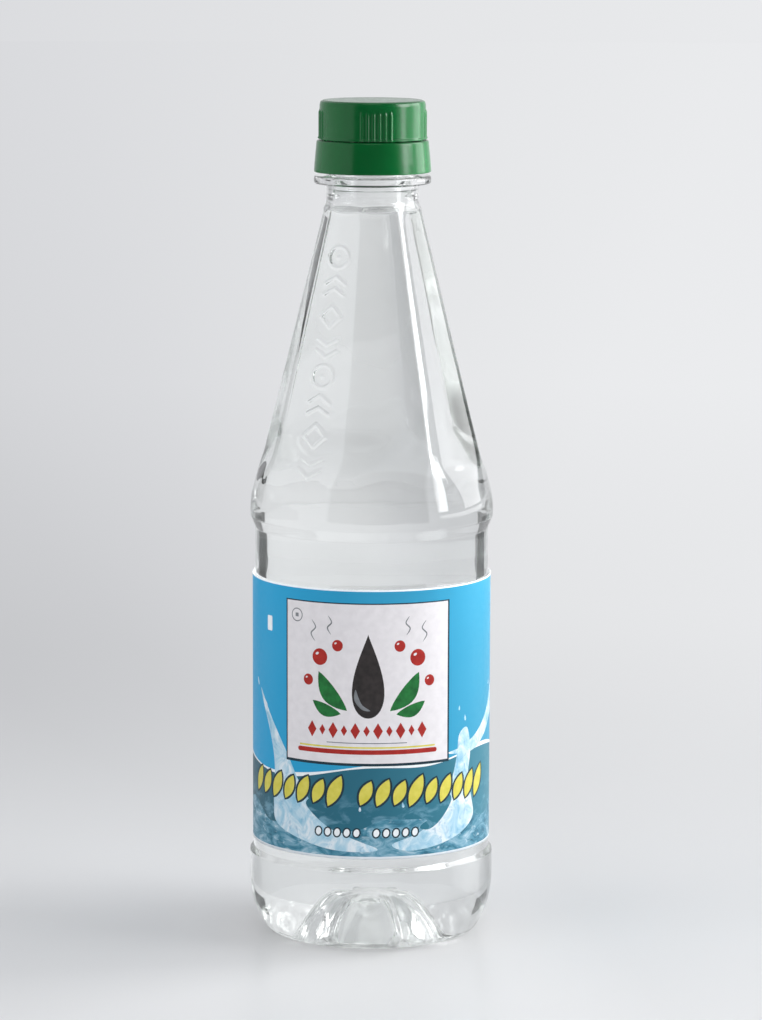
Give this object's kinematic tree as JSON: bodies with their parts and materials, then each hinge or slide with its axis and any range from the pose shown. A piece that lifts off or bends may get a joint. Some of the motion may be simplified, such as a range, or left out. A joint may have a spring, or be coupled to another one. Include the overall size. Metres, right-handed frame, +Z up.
{
  "type": "vinegar bottle",
  "caption": "Clear plastic bottle of vinegar with a tapering eight-sided shoulder, round bulge, blue wrap label, and a green screw cap on its tamper band.",
  "frame": {"origin": "middle of the base ring, on the ground", "axes": "+Z up along the bottle's axis, front of the label towards -Y"},
  "size_m": [0.0686, 0.0686, 0.2344],
  "materials": {
    "clear_plastic": "clear blow-moulded PET, glossy, slightly uneven wall",
    "vinegar": "clear colourless liquid",
    "green_plastic": "moulded polypropylene, satin gloss",
    "label_film": "printed film, blue with white, red and yellow fields"
  },
  "bodies": {
    "root": {"bottle": "clear_plastic", "vinegar": "vinegar", "cap": "green_plastic", "tamper_band": "green_plastic", "label": "label_film"}
  },
  "joints": []
}
